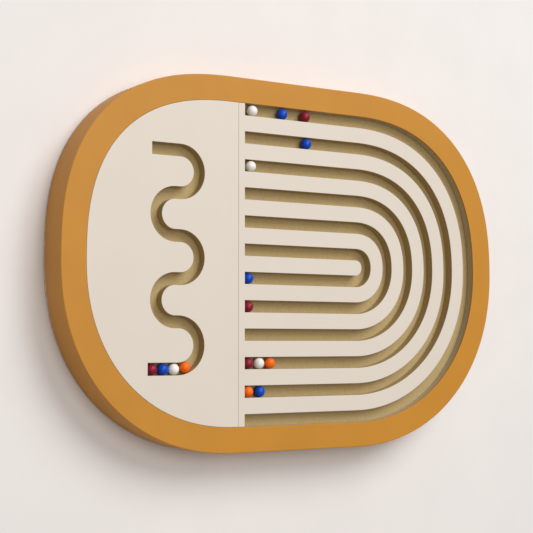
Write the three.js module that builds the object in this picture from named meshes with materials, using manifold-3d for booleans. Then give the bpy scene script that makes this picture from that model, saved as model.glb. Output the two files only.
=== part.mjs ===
// A wall-hung marble run, in millimetres: X to the right, Y into the wall, Z up.
// The origin is the middle of the wall rail's back face, on the wall and behind the panel's centre.
// Every board is an outline in X and Z that is extruded along Y, from a front face to a back face.

import * as THREE from 'three';
import { mergeVertices } from 'three/addons/utils/BufferGeometryUtils.js';
import Module from 'manifold-3d';

const wasm = await Module();
wasm.setup();

// ---- driving dimensions ----

const GAP = 0.3;                       // left between neighbouring pieces

// Depths, measured along Y from the wall at 0.
const FACE_Y = -58;                    // the visible front
const SKIN_THICKNESS = 0.8;
const CORE_FRONT_Y = -57;
const CORE_BACK_Y = -44;
const BACKING_FRONT_Y = CORE_BACK_Y + GAP;
const BACKING_BACK_Y = -34.7;
const RING_BACK_Y = -2;

// The ring and everything that follows it: two round ends joined by straight sides. The ends are
// superellipses, with one exponent above the middle and one below. A circle's is 2, and a larger
// one is fuller at the corners.
const ARC_X = 105.5;                   // the ends' centres at plus and minus this
const CIRCLE = { upper: 2, lower: 2 };
const LEFT_END = { upper: 2.54, lower: 2.17 };
const RIGHT_END = { upper: 2.35, lower: 2.11 };
const OUTER_RADIUS = 265;
const INNER_RADIUS = 229;
const REBATE_RADIUS = 241;             // rear rebate that takes the backing board

// The six nested U-shaped tracks on the right.
const TRACK_PITCH = 40;
const TRACK_COUNT = 6;
const TRACK_WIDTH = 17.2;
const TRACK_ARC_X = 102.3;             // centre of the tracks' round ends
const TRACK_END = { upper: 2.29, lower: 2.06 };
const TRACK_START_X = -91.1;           // square left ends of the tracks
const SEAM_X = -101.6;
const SEAM_WIDTH = 0.3;

// The liner that is the outermost track's outer wall.
const LINER_THICKNESS = 1.6;
const LINER_POCKET_RADIUS = INNER_RADIUS + LINER_THICKNESS + 0.4;
const LINER_FRONT_Y = -55.8;

// The winding track on the left: rows joined by bends, from the top row to the bottom row.
const WINDING_WIDTH = 17.4;
const WINDING_TOP_Z = 153;
const WINDING_START_X = -238.8;
const WINDING_END_X = -243.8;
const RIGHT_BEND_X = -194.8;
const LEFT_BEND_X = -202.6;
const BEND_RADIUS = 29.5;
const LAST_BEND_RADIUS = 32;
const LAST_BEND_X = -197.2;            // the last bend's centre
const LAST_BEND_Z = -115;
const QUEUE_ROW_Z = LAST_BEND_Z - LAST_BEND_RADIUS;

// Marbles.
const MARBLE_RADIUS = 8;
const MARBLE_Y = BACKING_FRONT_Y - MARBLE_RADIUS - GAP;

// Countersunk screws, all of one diameter.
const SCREW_HEAD_RADIUS = 3.5;
const SCREW_SHANK_RADIUS = 1.75;
const SCREW_HEAD_HEIGHT = 2.2;
const SCREW_POINT = 3;
const SCREW_SIDES = 8;
const SHORT_SCREW = 18;
const LONG_SCREW = 38;

// The hanging cleat: a rail on the wall and a hook on the panel, both bevelled at 45 degrees.
const CLEAT_HALF_LENGTH = 150;
const RAIL_HALF_HEIGHT = 45;
const RAIL_FRONT_Y = -18;
const CLEAT_BACK_Y = -1;
const CLEAT_TOP_Z = 110;
const SPACER_BOTTOM_Z = 52;
const RAIL_HOLE_X = [-125, -50, 50, 125];
const RAIL_HOLE_RADIUS = 2.75;
const RAIL_SINK_RADIUS = 5.5;
const RAIL_SINK_DEPTH = 4;

// Bumpers on the ring's back.
const BUMPER_RADIUS = 8;
const BUMPER_FRONT_Y = RING_BACK_Y + 0.2;

// ---- materials ----

function paint(color, roughness, metalness = 0) {
  return new THREE.MeshStandardMaterial({ color, roughness, metalness });
}

const AMBER = paint(0xc8913f, 0.6);
const CREAM = paint(0xe0d8cc, 0.65);
const TAN = paint(0xa38a5c, 0.7);
const LINER_TAN = paint(0x958a70, 0.7);
const PLYWOOD = paint(0xc9ab7c, 0.75);
const STEEL = paint(0xb4b6b8, 0.35, 1);
const RUBBER = paint(0x4a4a48, 0.9);
const MARBLE_PAINTS = {
  white: paint(0xf0ece6, 0.3),
  blue: paint(0x0f4fc4, 0.3),
  maroon: paint(0x96223c, 0.3),
  orange: paint(0xf56a1e, 0.3),
};

// ---- outlines ----

function point(x, z) {
  return new THREE.Vector2(x, z);
}

// A point of a round end.
function roundPoint(centreX, centreZ, radius, degrees, end = CIRCLE) {
  const angle = THREE.MathUtils.degToRad(degrees);
  const across = Math.cos(angle);
  const up = Math.sin(angle);
  const exponent = up >= 0 ? end.upper : end.lower;
  const reach = radius * (Math.abs(across) ** exponent + Math.abs(up) ** exponent) ** (-1 / exponent);
  return point(centreX + reach * across, centreZ + reach * up);
}

// Points along an arc, both ends included, with more steps on a larger radius.
function arc(centreX, centreZ, radius, fromDegrees, toDegrees, end = CIRCLE) {
  const sweep = toDegrees - fromDegrees;
  const steps = Math.ceil((Math.abs(sweep) / 180) * (8 + radius / 12));
  const points = [];
  for (let step = 0; step <= steps; step += 1) {
    points.push(roundPoint(centreX, centreZ, radius, fromDegrees + (sweep * step) / steps, end));
  }
  return points;
}

function obround(radius) {
  return [
    ...arc(ARC_X, 0, radius, -90, 90, RIGHT_END),
    ...arc(-ARC_X, 0, radius, 90, 270, LEFT_END),
  ];
}

// A U lying on its side, open to the left, between two radii.
function sidewaysU(arcX, startX, innerRadius, outerRadius, end) {
  return [
    point(startX, outerRadius),
    ...arc(arcX, 0, outerRadius, 90, -90, end),
    point(startX, -outerRadius),
    point(startX, -innerRadius),
    ...arc(arcX, 0, innerRadius, -90, 90, end),
    point(startX, innerRadius),
  ];
}

function trackOutline(track) {
  const inner = (track - 0.5) * TRACK_PITCH - TRACK_WIDTH / 2;
  return sidewaysU(TRACK_ARC_X, TRACK_START_X, inner, inner + TRACK_WIDTH, TRACK_END);
}

// The winding track as a band of constant width, along rows and half-circle bends.
function windingOutline() {
  const upper = [];
  const lower = [];
  const half = WINDING_WIDTH / 2;

  function addStraightEnd(x, z, heading) {
    upper.push(point(x, z + heading * half));
    lower.push(point(x, z - heading * half));
  }

  // A right bend turns clockwise and a left bend turns the other way, both on the way down.
  function addBend(x, z, radius, toTheRight) {
    const end = toTheRight ? -90 : 270;
    const outside = arc(x, z, radius + half, 90, end);
    const inside = arc(x, z, radius - half, 90, end);
    upper.push(...(toTheRight ? outside : inside));
    lower.push(...(toTheRight ? inside : outside));
  }

  let rowZ = WINDING_TOP_Z;
  addStraightEnd(WINDING_START_X, rowZ, 1);
  for (let bend = 0; bend < 4; bend += 1) {
    const toTheRight = bend % 2 === 0;
    addBend(toTheRight ? RIGHT_BEND_X : LEFT_BEND_X, rowZ - BEND_RADIUS, BEND_RADIUS, toTheRight);
    rowZ -= 2 * BEND_RADIUS;
  }
  addBend(LAST_BEND_X, LAST_BEND_Z, LAST_BEND_RADIUS, true);
  addStraightEnd(WINDING_END_X, QUEUE_ROW_Z, -1);
  return [...upper, ...lower.reverse()];
}

// ---- solids ----

// Extrudes an outline, with holes, from frontY to backY. The matrix turns the shape's own X, Y
// into the model's X, Z, and its depth into -Y.
function slab(outline, holes, frontY, backY) {
  const shape = new THREE.Shape(outline);
  shape.holes = holes.map((hole) => new THREE.Path(hole));
  const geometry = new THREE.ExtrudeGeometry(shape, { depth: backY - frontY, bevelEnabled: false });
  geometry.applyMatrix4(new THREE.Matrix4().set(1, 0, 0, 0, 0, 0, -1, backY, 0, 1, 0, 0, 0, 0, 0, 1));
  return geometry;
}

function toSolid(geometry) {
  const bare = geometry.clone();
  bare.deleteAttribute('normal');
  bare.deleteAttribute('uv');
  const merged = mergeVertices(bare, 1e-4);
  return new wasm.Manifold(new wasm.Mesh({
    numProp: 3,
    vertProperties: new Float32Array(merged.attributes.position.array),
    triVerts: new Uint32Array(merged.index.array),
  }));
}

function toGeometry(solid) {
  const mesh = solid.getMesh();
  const geometry = new THREE.BufferGeometry();
  geometry.setAttribute('position', new THREE.BufferAttribute(mesh.vertProperties, 3));
  geometry.setIndex(new THREE.BufferAttribute(mesh.triVerts, 1));
  const flat = geometry.toNonIndexed();
  flat.computeVertexNormals();
  return flat;
}

function cut(geometry, cutters) {
  let solid = toSolid(geometry);
  for (const cutter of cutters) {
    solid = solid.subtract(toSolid(cutter));
  }
  return toGeometry(solid);
}

// A countersunk screw that points towards -Y, with its head's face at headY.
// A grown screw is the hole for it, larger all round.
function screwGeometry(place, grow = 0) {
  const { x, z, headY, length } = place;
  const profile = [
    new THREE.Vector2(0, -length - grow),
    new THREE.Vector2(SCREW_SHANK_RADIUS + grow, SCREW_POINT - length - grow),
    new THREE.Vector2(SCREW_SHANK_RADIUS + grow, -SCREW_HEAD_HEIGHT),
    new THREE.Vector2(SCREW_HEAD_RADIUS + grow, 0),
  ];
  if (grow > 0) {
    profile.push(new THREE.Vector2(SCREW_HEAD_RADIUS + grow, 2));
  }
  profile.push(new THREE.Vector2(0, profile[profile.length - 1].y));
  const geometry = new THREE.LatheGeometry(profile, SCREW_SIDES);
  geometry.translate(x, headY, z);
  return geometry;
}

function screwHoles(places) {
  return places.map((place) => screwGeometry(place, GAP));
}

// ---- screw places ----

const RIM_SCREW_RADIUS = (INNER_RADIUS + REBATE_RADIUS) / 2 + 1;
const SCREW_HEAD_Y = BACKING_BACK_Y - 0.1;

// Each end of the ring, as its centre, the angle of its upper diagonal and its exponents.
const ringEnds = [
  [ARC_X, 45, RIGHT_END],
  [-ARC_X, 135, LEFT_END],
];

const rimScrews = [];
for (const side of [1, -1]) {
  for (const x of [-ARC_X, 0, ARC_X]) {
    rimScrews.push({ x, z: side * RIM_SCREW_RADIUS, headY: SCREW_HEAD_Y, length: SHORT_SCREW });
  }
  for (const [centreX, degrees, end] of ringEnds) {
    const place = roundPoint(centreX, 0, RIM_SCREW_RADIUS, side * degrees, end);
    rimScrews.push({ x: place.x, z: place.y, headY: SCREW_HEAD_Y, length: SHORT_SCREW });
  }
}

// Into the left board beside its track, and into the right board's lands.
const leftBoardScrews = [[-130, 150], [-130, -150], [-290, 0]];
const rightBoardScrews = [
  [-20, 4 * TRACK_PITCH],
  [-20, -4 * TRACK_PITCH],
  [60, 0],
  [TRACK_ARC_X + 4 * TRACK_PITCH, 0],
];

function boardScrew([x, z]) {
  return { x, z, headY: SCREW_HEAD_Y, length: SHORT_SCREW };
}

const cleatScrews = [-120, -40, 40, 120].map((x) => (
  { x, z: (SPACER_BOTTOM_Z + CLEAT_TOP_Z) / 2, headY: CLEAT_BACK_Y - 0.1, length: LONG_SCREW }
));

// ---- pieces ----

const model = new THREE.Group();
const panel = new THREE.Group();
const marbles = new THREE.Group();
model.add(panel, marbles);

function addMesh(group, name, geometry, material) {
  const mesh = new THREE.Mesh(geometry, material);
  mesh.name = name;
  group.add(mesh);
  return mesh;
}

function addRing() {
  const pocket = [point(TRACK_START_X - 1, -LINER_POCKET_RADIUS),
    ...arc(ARC_X, 0, LINER_POCKET_RADIUS, -90, 90, RIGHT_END),
    point(TRACK_START_X - 1, LINER_POCKET_RADIUS)];
  const body = slab(obround(OUTER_RADIUS), [obround(INNER_RADIUS)], FACE_Y, RING_BACK_Y);
  const cutters = [
    slab(pocket, [], LINER_FRONT_Y - 0.2, CORE_BACK_Y + 1),
    slab(obround(REBATE_RADIUS), [], CORE_BACK_Y, RING_BACK_Y + 1),
    ...screwHoles(rimScrews),
  ];
  addMesh(panel, 'frame_ring', cut(body, cutters), AMBER);
}

function addBoards() {
  const edgeRadius = INNER_RADIUS - GAP;
  const leftEdge = SEAM_X - SEAM_WIDTH / 2;
  const rightEdge = SEAM_X + SEAM_WIDTH / 2;
  const outerLand = (TRACK_COUNT - 0.5) * TRACK_PITCH - TRACK_WIDTH / 2;

  const leftOutline = [
    ...arc(-ARC_X, 0, edgeRadius, 90, 270, LEFT_END),
    point(leftEdge, -edgeRadius),
    point(leftEdge, edgeRadius),
  ];
  const leftHoles = [windingOutline()];

  const rightOutline = [
    point(rightEdge, edgeRadius),
    point(rightEdge, -edgeRadius),
    point(TRACK_START_X, -edgeRadius),
    point(TRACK_START_X, -outerLand),
    ...arc(TRACK_ARC_X, 0, outerLand, -90, 90, TRACK_END),
    point(TRACK_START_X, outerLand),
    point(TRACK_START_X, edgeRadius),
  ];
  const rightHoles = [];
  for (let track = 1; track < TRACK_COUNT; track += 1) {
    rightHoles.push(trackOutline(track));
  }

  const skinBack = FACE_Y + SKIN_THICKNESS;
  addMesh(panel, 'left_face', slab(leftOutline, leftHoles, FACE_Y, skinBack), CREAM);
  addMesh(panel, 'right_face', slab(rightOutline, rightHoles, FACE_Y, skinBack), CREAM);

  const leftCore = slab(leftOutline, leftHoles, CORE_FRONT_Y, CORE_BACK_Y);
  const rightCore = slab(rightOutline, rightHoles, CORE_FRONT_Y, CORE_BACK_Y);
  addMesh(panel, 'left_track_board', cut(leftCore, screwHoles(leftBoardScrews.map(boardScrew))), TAN);
  addMesh(panel, 'right_track_board', cut(rightCore, screwHoles(rightBoardScrews.map(boardScrew))), TAN);
}

function addLiner() {
  const inner = INNER_RADIUS + 0.2;
  const startX = TRACK_START_X - 0.5;
  const outline = sidewaysU(ARC_X, startX, inner, inner + LINER_THICKNESS, RIGHT_END);
  addMesh(panel, 'outer_track_liner', slab(outline, [], LINER_FRONT_Y, CORE_BACK_Y - 0.2), LINER_TAN);
}

function addBacking() {
  const body = slab(obround(REBATE_RADIUS - GAP), [], BACKING_FRONT_Y, BACKING_BACK_Y);
  const boardScrews = [...leftBoardScrews, ...rightBoardScrews].map(boardScrew);
  const places = [...rimScrews, ...boardScrews, ...cleatScrews];
  addMesh(panel, 'backing_board', cut(body, screwHoles(places)), TAN);
  rimScrews.forEach((place, index) => {
    addMesh(panel, `backing_screw_${index + 1}`, screwGeometry(place), STEEL);
  });
  boardScrews.forEach((place, index) => {
    addMesh(panel, `board_screw_${index + 1}`, screwGeometry(place), STEEL);
  });
}

// A bar along X whose section is given as points in Y and Z.
function bar(section, halfLength) {
  const shape = new THREE.Shape(section.map(([y, z]) => new THREE.Vector2(y, z)));
  const geometry = new THREE.ExtrudeGeometry(shape, { depth: 2 * halfLength, bevelEnabled: false });
  geometry.applyMatrix4(new THREE.Matrix4().set(0, 0, 1, -halfLength, 1, 0, 0, 0, 0, 1, 0, 0, 0, 0, 0, 1));
  return geometry;
}

function addCleat() {
  const railBackTopZ = RAIL_HALF_HEIGHT + RAIL_FRONT_Y;
  const lift = 0.4;
  const rail = bar([
    [0, -RAIL_HALF_HEIGHT],
    [0, railBackTopZ],
    [RAIL_FRONT_Y, RAIL_HALF_HEIGHT],
    [RAIL_FRONT_Y, -RAIL_HALF_HEIGHT],
  ], CLEAT_HALF_LENGTH);
  const railHoles = [];
  for (const x of RAIL_HOLE_X) {
    const hole = new THREE.LatheGeometry([
      new THREE.Vector2(0, RAIL_FRONT_Y - 1),
      new THREE.Vector2(RAIL_SINK_RADIUS, RAIL_FRONT_Y - 1),
      new THREE.Vector2(RAIL_SINK_RADIUS, RAIL_FRONT_Y),
      new THREE.Vector2(RAIL_HOLE_RADIUS, RAIL_FRONT_Y + RAIL_SINK_DEPTH),
      new THREE.Vector2(RAIL_HOLE_RADIUS, 1),
      new THREE.Vector2(0, 1),
    ], 12);
    hole.translate(x, 0, 0);
    railHoles.push(hole);
  }
  addMesh(model, 'wall_rail', cut(rail, railHoles), PLYWOOD);

  const hook = bar([
    [CLEAT_BACK_Y, railBackTopZ - CLEAT_BACK_Y + lift],
    [CLEAT_BACK_Y, CLEAT_TOP_Z],
    [RAIL_FRONT_Y, CLEAT_TOP_Z],
    [RAIL_FRONT_Y, RAIL_HALF_HEIGHT + lift],
  ], CLEAT_HALF_LENGTH);
  const spacer = bar([
    [RAIL_FRONT_Y - GAP, SPACER_BOTTOM_Z],
    [RAIL_FRONT_Y - GAP, CLEAT_TOP_Z],
    [BACKING_BACK_Y + GAP, CLEAT_TOP_Z],
    [BACKING_BACK_Y + GAP, SPACER_BOTTOM_Z],
  ], CLEAT_HALF_LENGTH);
  addMesh(panel, 'panel_cleat', cut(hook, screwHoles(cleatScrews)), PLYWOOD);
  addMesh(panel, 'cleat_spacer', cut(spacer, screwHoles(cleatScrews)), PLYWOOD);
  cleatScrews.forEach((place, index) => {
    addMesh(panel, `cleat_screw_${index + 1}`, screwGeometry(place), STEEL);
  });
}

function addBumpers() {
  const middleRadius = (REBATE_RADIUS + OUTER_RADIUS) / 2;
  let number = 1;
  for (const side of [1, -1]) {
    for (const end of [-1, 1]) {
      const bumper = new THREE.CylinderGeometry(BUMPER_RADIUS, BUMPER_RADIUS, -BUMPER_FRONT_Y, 16);
      const mesh = addMesh(panel, `bumper_${number}`, bumper, RUBBER);
      mesh.position.set(end * ARC_X, BUMPER_FRONT_Y / 2, side * middleRadius);
      number += 1;
    }
  }
}

function addMarble(name, color, x, z) {
  const geometry = new THREE.SphereGeometry(MARBLE_RADIUS, 12, 8);
  const mesh = addMesh(marbles, name, geometry, MARBLE_PAINTS[color]);
  mesh.position.set(x, MARBLE_Y, z);
}

// Marbles in the U-shaped tracks, by row from the top, each at its distance along X.
const ROW_MARBLES = [
  [1, 'white', -75.9],
  [1, 'blue', -24.6],
  [1, 'maroon', 15.4],
  [2, 'blue', 17.3],
  [3, 'white', -78.4],
  [7, 'blue', -82.8],
  [8, 'maroon', -82.8],
  [10, 'maroon', -82.8],
  [10, 'white', -64.5],
  [10, 'orange', -46.3],
  [11, 'orange', -82.8],
  [11, 'blue', -63.3],
];

// Marbles that lie in the winding track's bottom row.
const QUEUE_MARBLES = [
  ['maroon', -235.4],
  ['blue', -218.5],
  ['white', -201.8],
];
const BEND_MARBLE_DEGREES = -67;       // the last marble, a little way up the last bend

function addMarbles() {
  const rowDrop = TRACK_WIDTH / 2 - MARBLE_RADIUS - GAP;
  for (const [row, color, x] of ROW_MARBLES) {
    const z = (TRACK_COUNT + 0.5 - row) * TRACK_PITCH - rowDrop;
    addMarble(`marble_row${row}_${color}`, color, x, z);
  }
  const queueDrop = WINDING_WIDTH / 2 - MARBLE_RADIUS - GAP;
  for (const [color, x] of QUEUE_MARBLES) {
    addMarble(`marble_queue_${color}`, color, x, QUEUE_ROW_Z - queueDrop);
  }
  const radius = LAST_BEND_RADIUS + queueDrop;
  const angle = THREE.MathUtils.degToRad(BEND_MARBLE_DEGREES);
  const x = LAST_BEND_X + radius * Math.cos(angle);
  addMarble('marble_bend_orange', 'orange', x, LAST_BEND_Z + radius * Math.sin(angle));
}

addRing();
addBoards();
addLiner();
addBacking();
addCleat();
addBumpers();
addMarbles();

export default model;
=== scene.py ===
"""The looks of a wall-hung marble run: boards, ring, marbles and hardware, built around its CAD frame."""

import math

import bmesh
import bpy
from mathutils import Matrix, Vector, geometry, noise


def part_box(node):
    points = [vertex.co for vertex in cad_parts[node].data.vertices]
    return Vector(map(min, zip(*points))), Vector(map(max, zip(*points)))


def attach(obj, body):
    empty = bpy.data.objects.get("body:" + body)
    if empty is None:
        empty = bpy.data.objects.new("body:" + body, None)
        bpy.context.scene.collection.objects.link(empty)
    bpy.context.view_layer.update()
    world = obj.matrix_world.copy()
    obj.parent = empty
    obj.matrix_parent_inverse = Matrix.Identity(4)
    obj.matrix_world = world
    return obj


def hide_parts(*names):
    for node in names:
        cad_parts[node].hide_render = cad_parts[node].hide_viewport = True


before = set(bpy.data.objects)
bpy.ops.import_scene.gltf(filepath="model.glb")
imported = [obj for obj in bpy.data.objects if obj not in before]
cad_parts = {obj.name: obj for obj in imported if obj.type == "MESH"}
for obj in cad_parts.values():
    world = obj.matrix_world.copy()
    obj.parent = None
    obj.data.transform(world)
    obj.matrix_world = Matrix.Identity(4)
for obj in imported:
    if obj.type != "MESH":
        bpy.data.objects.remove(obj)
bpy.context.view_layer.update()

MM = 0.001

# ---- driving dimensions, in millimetres, the same as the CAD model's ----

FACE_Y = -58.0
SKIN_BACK_Y = -57.2
CORE_FRONT_Y = -57.1
CORE_BACK_Y = -44.0
RING_BACK_Y = -2.0
ARC_X = 105.5
# Superellipse exponents of the round ends, above and below the middle. A circle's is 2.
CIRCLE = (2.0, 2.0)
LEFT_END = (2.54, 2.17)
RIGHT_END = (2.35, 2.11)
OUTER_RADIUS = 265.0
INNER_RADIUS = 229.0
REBATE_RADIUS = 241.0
EDGE_GAP = 0.3            # between the boards and the ring

TRACK_PITCH = 40.0
TRACK_COUNT = 6
TRACK_WIDTH = 17.2
TRACK_ARC_X = 102.3
TRACK_END = (2.29, 2.06)
TRACK_START_X = -91.1
SEAM_X = -101.6
SEAM_WIDTH = 0.3

LINER_THICKNESS = 1.6
LINER_GAP = 0.2           # play on each side of the liner in its pocket
LINER_INNER_RADIUS = INNER_RADIUS + LINER_GAP
LINER_POCKET_RADIUS = INNER_RADIUS + LINER_THICKNESS + 2 * LINER_GAP
LINER_FRONT_Y = -55.8
LINER_START_X = TRACK_START_X - 0.5
PLAIN_WALL_Y = LINER_FRONT_Y - 0.3    # the last point of the ring's inner wall where it has no pocket
POCKET_START_X = TRACK_START_X - 1
POCKET_STEP = 0.05        # the length along X over which the pocket's depth is reached

WINDING_WIDTH = 17.4
WINDING_TOP_Z = 153.0
WINDING_START_X = -238.8
WINDING_END_X = -243.8
WINDING_BENDS = 4         # bends before the last, wider one
RIGHT_BEND_X = -194.8
LEFT_BEND_X = -202.6
BEND_RADIUS = 29.5
LAST_BEND_RADIUS = 32.0
LAST_BEND_X = -197.2
LAST_BEND_Z = -115.0
QUEUE_ROW_Z = LAST_BEND_Z - LAST_BEND_RADIUS

ARC_STEPS = 72            # steps in every bend and round end
EDGE_STEPS = 3            # steps in every rounded edge
FACE_EDGE = 0.45          # rounding of the cream faces' front edges
RING_EDGE = 1.1           # rounding of the ring's edges
RING_INNER_EDGE = 0.5     # rounding of the ring's front edge beside the faces
BOARD_EDGE = 0.3          # rounding of the boards' back edges and of the liner
HIDDEN_EDGE = 0.05        # rounding of edges that lie against another board
PLYWOOD_EDGE = 0.6
RUBBER_EDGE = 0.5

SHARP_DEGREES = 35        # edges that turn more than this are shaded as edges
ALL_SMOOTH = 180          # for a marble, which has no edges
WELD_DISTANCE = 1e-7      # in metres, as Blender's own lengths are
CAD_WELD_DISTANCE = 1e-6
FLAT_DEGREES = 1          # CAD triangles that turn less than this are joined
BEVEL_DEGREES = 40        # CAD edges that turn more than this are rounded

MARBLE_SUBDIVISIONS = 5
MARBLE_UNEVENNESS = 0.04
MARBLE_LUMPS = 2.5        # how fine the unevenness is
MARBLE_SPREAD = 40        # how much it differs from one marble to the next
MARBLE_INWARD = 0.6       # keeps the unevenness mostly inside the true ball


# ---- outlines: lists of (x, z), each drawn pulled in from its edge by an inset ----

def round_point(centre_x, centre_z, radius, degrees, end=CIRCLE):
    """A point of a round end: a superellipse, with one exponent above its centre and one below."""
    across = math.cos(math.radians(degrees))
    up = math.sin(math.radians(degrees))
    exponent = end[0] if up >= 0 else end[1]
    reach = radius * (abs(across) ** exponent + abs(up) ** exponent) ** (-1 / exponent)
    return (centre_x + reach * across, centre_z + reach * up)


def arc(centre_x, centre_z, radius, from_degrees, to_degrees, end=CIRCLE):
    """Points along a round end or a bend, both ends of it included."""
    step_degrees = (to_degrees - from_degrees) / ARC_STEPS
    return [round_point(centre_x, centre_z, radius, from_degrees + step_degrees * step, end)
            for step in range(ARC_STEPS + 1)]


def sideways_u(arc_x, start_x, inner_radius, outer_radius, end):
    """A band shaped like a U on its side, open to the left."""
    return (
        [(start_x, outer_radius)]
        + arc(arc_x, 0, outer_radius, 90, -90, end)
        + [(start_x, -outer_radius), (start_x, -inner_radius)]
        + arc(arc_x, 0, inner_radius, -90, 90, end)
        + [(start_x, inner_radius)]
    )


def winding_outline(inset):
    """The winding track as a band along rows and half-circle bends."""
    upper = []
    lower = []
    half = WINDING_WIDTH / 2 + inset

    def bend(x, z, radius, to_the_right):
        end = -90 if to_the_right else 270
        outside = arc(x, z, radius + half, 90, end)
        inside = arc(x, z, radius - half, 90, end)
        upper.extend(outside if to_the_right else inside)
        lower.extend(inside if to_the_right else outside)

    row_z = WINDING_TOP_Z
    upper.append((WINDING_START_X - inset, row_z + half))
    lower.append((WINDING_START_X - inset, row_z - half))
    for number in range(WINDING_BENDS):
        to_the_right = number % 2 == 0
        bend_x = RIGHT_BEND_X if to_the_right else LEFT_BEND_X
        bend(bend_x, row_z - BEND_RADIUS, BEND_RADIUS, to_the_right)
        row_z -= 2 * BEND_RADIUS
    bend(LAST_BEND_X, LAST_BEND_Z, LAST_BEND_RADIUS, True)
    upper.append((WINDING_END_X - inset, QUEUE_ROW_Z - half))
    lower.append((WINDING_END_X - inset, QUEUE_ROW_Z + half))
    return upper + lower[::-1]


def left_board_loops(inset):
    radius = INNER_RADIUS - EDGE_GAP - inset
    seam = SEAM_X - SEAM_WIDTH / 2 - inset
    outline = arc(-ARC_X, 0, radius, 90, 270, LEFT_END) + [(seam, -radius), (seam, radius)]
    return [outline, winding_outline(inset)]


def right_board_loops(inset):
    radius = INNER_RADIUS - EDGE_GAP - inset
    seam = SEAM_X + SEAM_WIDTH / 2 + inset
    start = TRACK_START_X - inset
    outer_land = (TRACK_COUNT - 0.5) * TRACK_PITCH - TRACK_WIDTH / 2 - inset
    outline = (
        [(seam, radius), (seam, -radius), (start, -radius), (start, -outer_land)]
        + arc(TRACK_ARC_X, 0, outer_land, -90, 90, TRACK_END)
        + [(start, outer_land), (start, radius)]
    )
    loops = [outline]
    half = TRACK_WIDTH / 2 + inset
    for track in range(1, TRACK_COUNT):
        centre = (track - 0.5) * TRACK_PITCH
        loops.append(sideways_u(TRACK_ARC_X, start, centre - half, centre + half, TRACK_END))
    return loops


def liner_loops(inset):
    inner = LINER_INNER_RADIUS + inset
    outer = LINER_INNER_RADIUS + LINER_THICKNESS - inset
    return [sideways_u(ARC_X, LINER_START_X + inset, inner, outer, RIGHT_END)]


# ---- meshes ----

def rounded_profile(front_y, back_y, front_edge, back_edge):
    """(inset, y) pairs from the front face to the back face, with quarter rounds at both edges."""
    rows = []
    for step in range(EDGE_STEPS + 1):
        angle = math.pi / 2 * step / EDGE_STEPS
        rows.append((front_edge * (1 - math.sin(angle)), front_y + front_edge * (1 - math.cos(angle))))
    for step in range(EDGE_STEPS + 1):
        angle = math.pi / 2 * step / EDGE_STEPS
        rows.append((back_edge * (1 - math.cos(angle)), back_y - back_edge * (1 - math.sin(angle))))
    return rows


def finish_mesh(name, verts, faces, material):
    """A smooth-shaded object from points in millimetres, whose flat faces stay flat."""
    mesh = bpy.data.meshes.new(name)
    mesh.from_pydata([(x * MM, y * MM, z * MM) for x, y, z in verts], [], faces)
    work = bmesh.new()
    work.from_mesh(mesh)
    bmesh.ops.remove_doubles(work, verts=work.verts, dist=WELD_DISTANCE)
    bmesh.ops.recalc_face_normals(work, faces=work.faces)
    work.to_mesh(mesh)
    work.free()
    return add_object(name, mesh, material)


def add_object(name, mesh, material, sharp_degrees=SHARP_DEGREES):
    mesh.shade_smooth()
    mesh.set_sharp_from_angle(angle=math.radians(sharp_degrees))
    mesh.materials.clear()
    mesh.materials.append(material)
    piece = bpy.data.objects.new(name, mesh)
    bpy.context.scene.collection.objects.link(piece)
    weighted = piece.modifiers.new("flat_faces", "WEIGHTED_NORMAL")
    weighted.keep_sharp = True
    return piece


def board(name, loops_at, profile, material):
    """A solid whose outline and holes come from loops_at(inset), at the inset of each profile row."""
    verts = []
    sizes = [len(loop) for loop in loops_at(0)]
    for inset, y in profile:
        for loop in loops_at(inset):
            verts.extend((x, y, z) for x, z in loop)
    per_row = sum(sizes)
    faces = []
    for row in range(len(profile) - 1):
        start = row * per_row
        for size in sizes:
            for index in range(size):
                following = (index + 1) % size
                faces.append((start + index, start + following,
                              start + per_row + following, start + per_row + index))
            start += size
    for row in (0, len(profile) - 1):
        flat = [[Vector((x, z, 0)) for x, z in loop] for loop in loops_at(profile[row][0])]
        for triangle in geometry.tessellate_polygon(flat):
            faces.append(tuple(row * per_row + corner for corner in triangle))
    return finish_mesh(name, verts, faces, material)


def ring_sections():
    """Places round the ring, clockwise from the top of its right end.

    Each is (centre's x, angle in degrees, that end's exponents, whether the liner's pocket is there).
    """
    sections = []
    for step in range(ARC_STEPS + 1):
        sections.append((ARC_X, 90 - 180 * step / ARC_STEPS, RIGHT_END, True))
    sections.append((POCKET_START_X, -90, RIGHT_END, True))
    sections.append((POCKET_START_X - POCKET_STEP, -90, LEFT_END, False))
    for step in range(ARC_STEPS + 1):
        sections.append((-ARC_X, 270 - 180 * step / ARC_STEPS, LEFT_END, False))
    sections.append((POCKET_START_X - POCKET_STEP, 90, LEFT_END, False))
    sections.append((POCKET_START_X, 90, RIGHT_END, True))
    return sections


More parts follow.
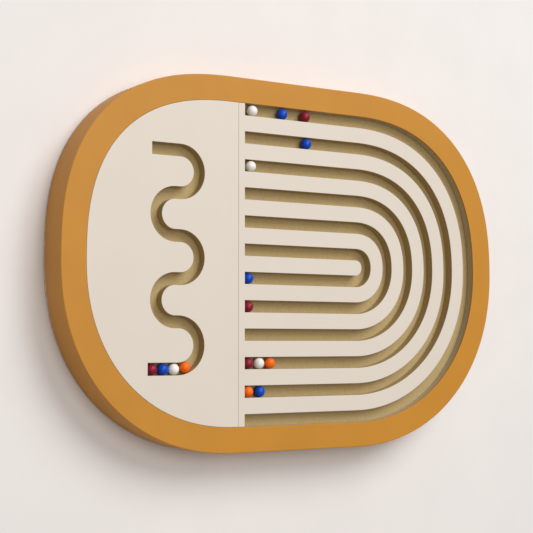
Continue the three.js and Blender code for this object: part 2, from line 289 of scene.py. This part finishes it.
def ring_profile(pocket):
    """The ring's cross-section as (radius, y), round from the front's inner edge."""
    rows = []
    # Each corner as (radius, y, rounding, the way into the wood along the radius, and along Y).
    corners = [
        (INNER_RADIUS, FACE_Y, RING_INNER_EDGE, 1, 1),
        (OUTER_RADIUS, FACE_Y, RING_EDGE, -1, 1),
        (OUTER_RADIUS, RING_BACK_Y, RING_EDGE, -1, -1),
        (REBATE_RADIUS, RING_BACK_Y, RING_EDGE, 1, -1),
    ]
    for number, (radius, y, edge, side, depth) in enumerate(corners):
        for step in range(EDGE_STEPS + 1):
            angle = math.pi / 2 * step / EDGE_STEPS
            along = edge * (1 - math.sin(angle))
            across = edge * (1 - math.cos(angle))
            # Corners are walked wall to face and face to wall in turn, and the first is wall to face.
            if number % 2 == 1:
                along, across = across, along
            rows.append((radius + side * across, y + depth * along))
    pocket_radius = LINER_POCKET_RADIUS if pocket else INNER_RADIUS
    pocket_front_y = LINER_FRONT_Y - LINER_GAP
    # Without a pocket the last two points would be the same one, so the last lies further forward.
    last_y = pocket_front_y if pocket else PLAIN_WALL_Y
    rows.append((REBATE_RADIUS, CORE_BACK_Y))
    rows.append((pocket_radius, CORE_BACK_Y))
    rows.append((pocket_radius, pocket_front_y))
    rows.append((INNER_RADIUS, last_y))
    return rows


def make_ring(material):
    verts = []
    sections = ring_sections()
    per_section = len(ring_profile(True))
    for centre_x, degrees, end, pocket in sections:
        for radius, y in ring_profile(pocket):
            x, z = round_point(centre_x, 0, radius, degrees, end)
            verts.append((x, y, z))
    faces = []
    for section in range(len(sections)):
        here = section * per_section
        there = (section + 1) % len(sections) * per_section
        for index in range(per_section):
            following = (index + 1) % per_section
            faces.append((here + index, here + following, there + following, there + index))
    return finish_mesh("ring_shell", verts, faces, material)


def box_centre(node):
    low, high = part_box(node)
    return (Vector(low) + Vector(high)) / 2


def make_marble(node, material):
    """A hand-finished ball: round, with a surface that is a few hundredths of a millimetre uneven."""
    centre = box_centre(node)
    low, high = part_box(node)
    radius = (high[2] - low[2]) / 2
    work = bmesh.new()
    bmesh.ops.create_icosphere(work, subdivisions=MARBLE_SUBDIVISIONS, radius=radius)
    for vert in work.verts:
        direction = vert.co.normalized()
        lump = noise.noise(direction * MARBLE_LUMPS + centre * MARBLE_SPREAD)
        vert.co = direction * (radius + MARBLE_UNEVENNESS * MM * (lump - MARBLE_INWARD))
        vert.co += centre
    mesh = bpy.data.meshes.new(node + "_ball")
    work.to_mesh(mesh)
    work.free()
    return add_object(node + "_ball", mesh, material, ALL_SMOOTH)


SCREW_LENGTHS = (18, 38)
SCREW_SIDES = 32
SCREW_TURN = 37           # each screw stops this many degrees on from the one before
HEAD_RADIUS = 3.5
HEAD_HEIGHT = 2.2
# The head's rim, from below, as (change from the head's radius, height).
HEAD_RIM = ((-0.05, -0.25), (0.0, -0.15), (-0.1, 0.0))
SHANK_RADIUS = 1.72
PLAIN_SHARE = 0.4         # the share of the length that has no thread
THREAD_PITCH = 1.2
THREAD_DEPTH = 0.35
# One thread's crest and the foot of its slope, as shares of the pitch.
CREST_START = 0.4
CREST_END = 0.5
SLOPE_END = 0.9
POINT_LENGTH = 3.0
TIP_RADIUS = 0.3
TIP_HEIGHT = 0.4
RECESS_DEPTH = 1.5
RECESS_REACH = 2.1
RECESS_HALF_WIDTH = 0.42
RECESS_TAPER = 0.35       # the recess's reach at its bottom, as a share
RECESS_STRAIGHT = 0.6     # the share of its width that doesn't taper
RECESS_OVERSHOOT = 0.5    # how far the cutter stands out of the head


def screw_profile(length):
    """(radius, y) from the screw's point to the middle of its head, which is at 0."""
    root_radius = SHANK_RADIUS - THREAD_DEPTH
    profile = [(0.0, -length), (TIP_RADIUS, -length + TIP_HEIGHT)]
    y = -length + POINT_LENGTH
    profile.append((root_radius, y))
    thread_top = -length * PLAIN_SHARE
    while y + THREAD_PITCH < thread_top:
        profile.append((SHANK_RADIUS, y + THREAD_PITCH * CREST_START))
        profile.append((SHANK_RADIUS, y + THREAD_PITCH * CREST_END))
        profile.append((root_radius, y + THREAD_PITCH * SLOPE_END))
        y += THREAD_PITCH
    profile += [(SHANK_RADIUS, y + THREAD_PITCH), (SHANK_RADIUS, -HEAD_HEIGHT)]
    profile += [(HEAD_RADIUS + change, height) for change, height in HEAD_RIM]
    profile.append((0.0, 0.0))
    return profile


def object_from_bmesh(name, work):
    """A plain object for a boolean, which takes over the bmesh."""
    bmesh.ops.recalc_face_normals(work, faces=work.faces)
    mesh = bpy.data.meshes.new(name)
    work.to_mesh(mesh)
    work.free()
    made = bpy.data.objects.new(name, mesh)
    bpy.context.scene.collection.objects.link(made)
    return made


def turned_screw(length):
    work = bmesh.new()
    rings = []
    for radius, height in screw_profile(length):
        if radius == 0:
            rings.append([work.verts.new((0, height * MM, 0))])
            continue
        ring = []
        for side in range(SCREW_SIDES):
            angle = 2 * math.pi * side / SCREW_SIDES
            across = radius * MM * math.cos(angle)
            up = radius * MM * math.sin(angle)
            ring.append(work.verts.new((across, height * MM, up)))
        rings.append(ring)
    for lower, upper in zip(rings, rings[1:]):
        for side in range(SCREW_SIDES):
            following = (side + 1) % SCREW_SIDES
            corners = [lower[side % len(lower)], lower[following % len(lower)],
                       upper[following % len(upper)], upper[side % len(upper)]]
            work.faces.new(list(dict.fromkeys(corners)))
    return object_from_bmesh("screw_blank", work)


def cross_cutter():
    """Two tapered bars, crossed, in the shape of the head's recess."""
    work = bmesh.new()
    for turn in (0, math.pi / 2):
        for vert in bmesh.ops.create_cube(work, size=1.0)["verts"]:
            outside = vert.co.y > 0
            taper = 1.0 if outside else RECESS_TAPER
            narrowing = RECESS_STRAIGHT + (1 - RECESS_STRAIGHT) * taper
            reach = RECESS_REACH * taper * vert.co.x * 2
            width = RECESS_HALF_WIDTH * narrowing * vert.co.z * 2
            depth = RECESS_OVERSHOOT if outside else -RECESS_DEPTH
            across = reach * math.cos(turn) - width * math.sin(turn)
            up = reach * math.sin(turn) + width * math.cos(turn)
            vert.co = (across * MM, depth * MM, up * MM)
    return object_from_bmesh("recess", work)


def screw_mesh(length):
    """A countersunk screw along Y with its head at 0 and its point at -length, and a cross recess."""
    screw = turned_screw(length)
    cutter = cross_cutter()
    carve = screw.modifiers.new("recess", "BOOLEAN")
    carve.operation = "DIFFERENCE"
    carve.solver = "EXACT"
    carve.use_self = True
    carve.object = cutter
    evaluated = screw.evaluated_get(bpy.context.evaluated_depsgraph_get())
    carved = bpy.data.meshes.new_from_object(evaluated)
    carved.name = f"screw_{length}"
    bpy.data.objects.remove(screw)
    bpy.data.objects.remove(cutter)
    return carved


def place_screw(node, blank, turn_degrees, material):
    _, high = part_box(node)
    centre = box_centre(node)
    mesh = blank.copy()
    head_place = Matrix.Translation((centre.x, high[1], centre.z))
    mesh.transform(head_place @ Matrix.Rotation(math.radians(turn_degrees), 4, "Y"))
    return add_object(node + "_detail", mesh, material)


def bevelled_copy(node, name, edge_mm, material):
    """The CAD node's own shape with its triangles joined into faces and its edges rounded."""
    work = bmesh.new()
    work.from_mesh(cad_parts[node].data)
    bmesh.ops.remove_doubles(work, verts=work.verts, dist=CAD_WELD_DISTANCE)
    flat = math.radians(FLAT_DEGREES)
    bmesh.ops.dissolve_limit(work, angle_limit=flat, verts=work.verts, edges=work.edges)
    sharp = [edge for edge in work.edges if edge.calc_face_angle(0) > math.radians(BEVEL_DEGREES)]
    bmesh.ops.bevel(work, geom=sharp, offset=edge_mm * MM, segments=EDGE_STEPS, profile=0.5,
                    affect="EDGES", clamp_overlap=True)
    bmesh.ops.recalc_face_normals(work, faces=work.faces)
    mesh = bpy.data.meshes.new(name)
    work.to_mesh(mesh)
    work.free()
    return add_object(name, mesh, material)


# ---- materials ----

def new_material(name, roughness, metallic=0.0):
    """An empty Principled material. Returns (material, tree, shader)."""
    material = bpy.data.materials.new(name)
    material.use_nodes = True
    shader = material.node_tree.nodes["Principled BSDF"]
    shader.inputs["Roughness"].default_value = roughness
    shader.inputs["Metallic"].default_value = metallic
    return material, material.node_tree, shader


def noise_factor(tree, scale, detail=3.0, stretch=(1.0, 1.0, 1.0), roughness=0.5):
    """Noise in object space, whose features are about 1 / scale metres, stretched along the axes."""
    place = tree.nodes.new("ShaderNodeTexCoord")
    mapping = tree.nodes.new("ShaderNodeMapping")
    mapping.inputs["Scale"].default_value = stretch
    texture = tree.nodes.new("ShaderNodeTexNoise")
    texture.inputs["Scale"].default_value = scale
    texture.inputs["Detail"].default_value = detail
    texture.inputs["Roughness"].default_value = roughness
    tree.links.new(place.outputs["Object"], mapping.inputs["Vector"])
    tree.links.new(mapping.outputs["Vector"], texture.inputs["Vector"])
    return texture.outputs["Fac"]


def colour_ramp(tree, factor, stops):
    """A colour that follows a factor through stops of (position, colour)."""
    ramp = tree.nodes.new("ShaderNodeValToRGB")
    elements = ramp.color_ramp.elements
    while len(elements) < len(stops):
        elements.new(0.5)
    for element, (position, colour) in zip(elements, stops):
        element.position = position
        element.color = (*colour, 1.0)
    tree.links.new(factor, ramp.inputs["Fac"])
    return ramp.outputs["Color"]


def tint(colour, share):
    return tuple(min(1.0, channel * share) for channel in colour)


def add_bump(tree, shader, height, strength, distance_mm, under=None):
    """Bumps on a shader, on top of the bumps given as under. Returns them, to be built on in turn."""
    bump = tree.nodes.new("ShaderNodeBump")
    bump.inputs["Strength"].default_value = strength
    bump.inputs["Distance"].default_value = distance_mm * MM
    tree.links.new(height, bump.inputs["Height"])
    if under is not None:
        tree.links.new(under, bump.inputs["Normal"])
    tree.links.new(bump.outputs["Normal"], shader.inputs["Normal"])
    return bump.outputs["Normal"]


def vary_roughness(tree, shader, factor, low, high):
    span = tree.nodes.new("ShaderNodeMapRange")
    span.inputs["To Min"].default_value = low
    span.inputs["To Max"].default_value = high
    tree.links.new(factor, span.inputs["Value"])
    tree.links.new(span.outputs["Result"], shader.inputs["Roughness"])


def painted(name, colour, spread, roughness, peel_scale=900.0, peel=0.12, specular=0.5):
    """Sprayed paint: broad, faint mottling and a fine orange peel."""
    material, tree, shader = new_material(name, roughness)
    shader.inputs["Specular IOR Level"].default_value = specular
    broad = noise_factor(tree, scale=14.0, detail=4.0)
    stops = [(0.3, tint(colour, 1 - spread)), (0.7, tint(colour, 1 + spread))]
    tree.links.new(colour_ramp(tree, broad, stops), shader.inputs["Base Color"])
    fine = noise_factor(tree, peel_scale, detail=2.0)
    patches = noise_factor(tree, scale=60.0)
    vary_roughness(tree, shader, patches, low=roughness - 0.06, high=roughness + 0.06)
    add_bump(tree, shader, fine, strength=peel, distance_mm=0.1)
    return material


def fibreboard(name, colour, roughness=0.75):
    """Stained fibreboard: short fibres, fine specks and faint lines left by the router on its walls."""
    material, tree, shader = new_material(name, roughness)
    fibres = noise_factor(tree, scale=420.0, detail=5.0, stretch=(1.0, 2.2, 0.6), roughness=0.65)
    stops = [(0.25, tint(colour, 0.86)), (0.5, colour), (0.8, tint(colour, 1.12))]
    tree.links.new(colour_ramp(tree, fibres, stops), shader.inputs["Base Color"])
    lines = noise_factor(tree, scale=30.0, detail=2.0, stretch=(1.0, 45.0, 1.0))
    under = add_bump(tree, shader, lines, strength=0.15, distance_mm=0.15)
    add_bump(tree, shader, fibres, strength=0.25, distance_mm=0.12, under=under)
    return material


def plywood(name, face_colour, glue_colour):
    """Birch plywood: long grain on the faces and thin layers on the edges, stacked through the depth."""
    material, tree, shader = new_material(name, roughness=0.6)
    grain = noise_factor(tree, scale=55.0, detail=6.0, stretch=(0.12, 1.0, 1.6), roughness=0.6)
    grain_stops = [(0.3, tint(face_colour, 0.84)), (0.55, face_colour), (0.75, tint(face_colour, 1.1))]
    face = colour_ramp(tree, grain, grain_stops)
    place = tree.nodes.new("ShaderNodeTexCoord")
    layers = tree.nodes.new("ShaderNodeTexWave")
    layers.wave_type = "BANDS"
    layers.bands_direction = "Y"
    layers.inputs["Scale"].default_value = 105.0
    layers.inputs["Distortion"].default_value = 0.6
    layers.inputs["Detail"].default_value = 1.0
    tree.links.new(place.outputs["Object"], layers.inputs["Vector"])
    layer_stops = [(0.25, glue_colour), (0.45, tint(face_colour, 0.8)), (0.7, face_colour)]
    edge = colour_ramp(tree, layers.outputs["Fac"], layer_stops)
    # The more a surface faces along Y, the more it shows the face's grain.
    facing = tree.nodes.new("ShaderNodeNewGeometry")
    apart = tree.nodes.new("ShaderNodeSeparateXYZ")
    depth = tree.nodes.new("ShaderNodeMath")
    depth.operation = "ABSOLUTE"
    choose = tree.nodes.new("ShaderNodeMix")
    choose.data_type = "RGBA"
    tree.links.new(facing.outputs["Normal"], apart.inputs["Vector"])
    tree.links.new(apart.outputs["Y"], depth.inputs[0])
    tree.links.new(depth.outputs["Value"], choose.inputs["Factor"])
    tree.links.new(edge, choose.inputs["A"])
    tree.links.new(face, choose.inputs["B"])
    tree.links.new(choose.outputs["Result"], shader.inputs["Base Color"])
    add_bump(tree, shader, grain, strength=0.3, distance_mm=0.15)
    return material


def marble_finish(name, colour):
    """A satin lacquered ball: faint speckle and cloudy colour under a soft gloss."""
    material, tree, shader = new_material(name, roughness=0.36)
    shader.inputs["Specular IOR Level"].default_value = 0.3
    cloud = noise_factor(tree, scale=180.0, detail=5.0, roughness=0.7)
    stops = [(0.3, tint(colour, 0.84)), (0.5, colour), (0.75, tint(colour, 1.12))]
    tree.links.new(colour_ramp(tree, cloud, stops), shader.inputs["Base Color"])
    vary_roughness(tree, shader, noise_factor(tree, scale=500.0), low=0.3, high=0.46)
    add_bump(tree, shader, noise_factor(tree, scale=1100.0, detail=2.0), strength=0.12, distance_mm=0.08)
    return material


def zinc(name):
    """Zinc-plated steel: small, dull and brighter patches."""
    material, tree, shader = new_material(name, roughness=0.35, metallic=1.0)
    patches = noise_factor(tree, scale=900.0, detail=3.0)
    stops = [(0.3, (0.42, 0.42, 0.44)), (0.7, (0.62, 0.61, 0.58))]
    tree.links.new(colour_ramp(tree, patches, stops), shader.inputs["Base Color"])
    vary_roughness(tree, shader, patches, low=0.25, high=0.45)
    add_bump(tree, shader, patches, strength=0.1, distance_mm=0.03)
    return material


def rubber(name):
    """Dark, grainy rubber."""
    material, tree, shader = new_material(name, roughness=0.85)
    grains = noise_factor(tree, scale=1500.0, detail=3.0)
    stops = [(0.3, (0.035, 0.035, 0.034)), (0.7, (0.07, 0.07, 0.068))]
    tree.links.new(colour_ramp(tree, grains, stops), shader.inputs["Base Color"])
    add_bump(tree, shader, grains, strength=0.4, distance_mm=0.08)
    return material


AMBER = painted("amber_paint", (0.568, 0.247, 0.022), spread=0.035, roughness=0.56, specular=0.4)
CREAM = painted("cream_laminate", (0.745, 0.675, 0.590), spread=0.012, roughness=0.55,
                peel_scale=1400.0, peel=0.08)
TAN = fibreboard("tan_fibreboard", (0.455, 0.335, 0.150))
LINER_TAN = fibreboard("grey_tan_strip", (0.520, 0.450, 0.320))
PLYWOOD = plywood("birch_plywood", face_colour=(0.56, 0.40, 0.21), glue_colour=(0.16, 0.09, 0.04))
ZINC = zinc("zinc_steel")
RUBBER = rubber("bumper_rubber")
MARBLE_COLOURS = {
    "white": (0.93, 0.90, 0.87),
    "blue": (0.001, 0.070, 0.56),
    "maroon": (0.27, 0.010, 0.032),
    "orange": (1.00, 0.165, 0.006),
}


# ---- pieces ----

def settle(piece, body, slot, *nodes):
    """Puts a piece on the body it rides on and hides the CAD nodes it stands for. The slot is not used.
    """
    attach(piece, body)
    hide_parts(*nodes)


settle(make_ring(AMBER), "panel", "amber_paint", "frame_ring")

SKIN = rounded_profile(FACE_Y, SKIN_BACK_Y, FACE_EDGE, HIDDEN_EDGE)
CORE = rounded_profile(CORE_FRONT_Y, CORE_BACK_Y, HIDDEN_EDGE, BOARD_EDGE)
LINER = rounded_profile(LINER_FRONT_Y, CORE_BACK_Y - LINER_GAP, BOARD_EDGE, BOARD_EDGE)
# Every flat piece as (name, outlines, profile, material, slot, CAD node).
BOARDS = (
    ("left_face_skin", left_board_loops, SKIN, CREAM, "cream_face", "left_face"),
    ("right_face_skin", right_board_loops, SKIN, CREAM, "cream_face", "right_face"),
    ("left_track_core", left_board_loops, CORE, TAN, "track_core", "left_track_board"),
    ("right_track_core", right_board_loops, CORE, TAN, "track_core", "right_track_board"),
    ("outer_track_strip", liner_loops, LINER, LINER_TAN, "liner", "outer_track_liner"),
)
for name, loops_at, profile, material, slot, node in BOARDS:
    settle(board(name, loops_at, profile, material), "panel", slot, node)

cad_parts["backing_board"].data.materials.clear()
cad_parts["backing_board"].data.materials.append(TAN)

for node, body in (("panel_cleat", "panel"), ("cleat_spacer", "panel"), ("wall_rail", "wall_rail")):
    settle(bevelled_copy(node, node + "_rounded", PLYWOOD_EDGE, PLYWOOD), body, "plywood", node)

marble_materials = {}
for colour, rgb in MARBLE_COLOURS.items():
    marble_materials[colour] = marble_finish("marble_" + colour, rgb)
blanks = {length: screw_mesh(length) for length in SCREW_LENGTHS}
turn = 0
for node in sorted(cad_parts):
    if node.startswith("marble_"):
        colour = node.split("_")[-1]
        settle(make_marble(node, marble_materials[colour]), node, "marble_" + colour, node)
    elif "_screw_" in node:
        low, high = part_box(node)
        length = round((high[1] - low[1]) / MM)
        turn += SCREW_TURN
        settle(place_screw(node, blanks[length], turn, ZINC), "panel", "screw_steel", node)
    elif node.startswith("bumper_"):
        settle(bevelled_copy(node, node + "_rounded", RUBBER_EDGE, RUBBER), "panel", "bumper_felt", node)


# ---- wall, light and camera, in metres ----

WALL_HALF_SIZE = 4.0
WALL_Y = 0.0004           # just behind the wall rail
FIRST_BOUNCE = 0.5        # between no bounce and one
PANEL_CENTRE = (0.0, 0.0, 0.0)
ROOM_COLOUR = (1.0, 0.89, 0.76)
ROOM_STRENGTH = 0.22
REAR_STRENGTH = 2.2
CAMERA_PLACE = (-1.0311, -1.5863, -0.1123)
CAMERA_FORWARD = (0.5373, 0.8413, 0.0603)
SENSOR_WIDTH_MM = 36.0
LENS_MM = 86.05


def make_wall():
    """The wall behind the panel: solid from the room's side, and clear from behind it."""
    mesh = bpy.data.meshes.new("room_wall")
    corners = [(-1, -1), (1, -1), (1, 1), (-1, 1)]
    verts = [(x * WALL_HALF_SIZE, WALL_Y, z * WALL_HALF_SIZE) for x, z in corners]
    mesh.from_pydata(verts, [], [(0, 1, 2, 3)])
    wall = bpy.data.objects.new("room_wall", mesh)
    bpy.context.scene.collection.objects.link(wall)
    material, tree, shader = new_material("wall_paint", roughness=0.9)
    mottle = noise_factor(tree, scale=9.0, detail=5.0)
    stops = [(0.3, (0.840, 0.810, 0.797)), (0.7, (0.870, 0.839, 0.825))]
    tree.links.new(colour_ramp(tree, mottle, stops), shader.inputs["Base Color"])
    add_bump(tree, shader, noise_factor(tree, scale=240.0, detail=4.0), strength=0.06, distance_mm=0.4)
    facing = tree.nodes.new("ShaderNodeNewGeometry")
    path = tree.nodes.new("ShaderNodeLightPath")
    # Light from behind reaches what is seen from behind, and doesn't bounce onto the wall's front.
    unbounced = tree.nodes.new("ShaderNodeMath")
    unbounced.operation = "LESS_THAN"
    unbounced.inputs[1].default_value = FIRST_BOUNCE
    passing = tree.nodes.new("ShaderNodeMath")
    passing.operation = "MULTIPLY"
    either = tree.nodes.new("ShaderNodeMath")
    either.operation = "MAXIMUM"
    clear = tree.nodes.new("ShaderNodeBsdfTransparent")
    choose = tree.nodes.new("ShaderNodeMixShader")
    tree.links.new(facing.outputs["Backfacing"], either.inputs[0])
    tree.links.new(path.outputs["Diffuse Depth"], unbounced.inputs[0])
    tree.links.new(path.outputs["Is Shadow Ray"], passing.inputs[0])
    tree.links.new(unbounced.outputs["Value"], passing.inputs[1])
    tree.links.new(passing.outputs["Value"], either.inputs[1])
    tree.links.new(either.outputs["Value"], choose.inputs["Fac"])
    tree.links.new(shader.outputs["BSDF"], choose.inputs[1])
    tree.links.new(clear.outputs["BSDF"], choose.inputs[2])
    tree.links.new(choose.outputs["Shader"], tree.nodes["Material Output"].inputs["Surface"])
    mesh.materials.append(material)


def area_light(name, place, size, power, colour=(1.0, 1.0, 1.0)):
    """A round lamp that points at the panel's centre."""
    data = bpy.data.lights.new(name, "AREA")
    data.shape = "DISK"
    data.size = size
    data.energy = power
    data.color = colour
    lamp = bpy.data.objects.new(name, data)
    lamp.location = place
    lamp.rotation_euler = (Vector(PANEL_CENTRE) - Vector(place)).to_track_quat("-Z", "Y").to_euler()
    bpy.context.scene.collection.objects.link(lamp)


def set_lights():
    world = bpy.data.worlds.new("room")
    world.use_nodes = True
    world.node_tree.nodes["Background"].inputs["Color"].default_value = (*ROOM_COLOUR, 1.0)
    world.node_tree.nodes["Background"].inputs["Strength"].default_value = ROOM_STRENGTH
    bpy.context.scene.world = world
    bpy.context.scene.view_settings.view_transform = "Standard"
    area_light("key", place=(2.6, -5.2, 4.5), size=4.8, power=385.0, colour=(0.98, 0.99, 1.0))
    area_light("front_fill", place=(-0.6, -5.4, 0.6), size=3.4, power=105.0)
    # Straight along the wall's normal, so it lights the back and nothing that is seen from the room.
    rear_data = bpy.data.lights.new("rear", "SUN")
    rear_data.energy = REAR_STRENGTH
    rear = bpy.data.objects.new("rear", rear_data)
    rear.rotation_euler = Vector((0.0, -1.0, 0.0)).to_track_quat("-Z", "Y").to_euler()
    bpy.context.scene.collection.objects.link(rear)


def set_camera():
    """Low and to the left of the panel, looking a little up at it, level, with no shift."""
    camera_data = bpy.data.cameras.new("camera")
    camera_data.sensor_width = SENSOR_WIDTH_MM
    camera_data.lens = LENS_MM
    camera = bpy.data.objects.new("camera", camera_data)
    camera.location = CAMERA_PLACE
    camera.rotation_euler = Vector(CAMERA_FORWARD).to_track_quat("-Z", "Y").to_euler()
    bpy.context.scene.collection.objects.link(camera)
    bpy.context.scene.camera = camera


make_wall()
set_lights()
set_camera()
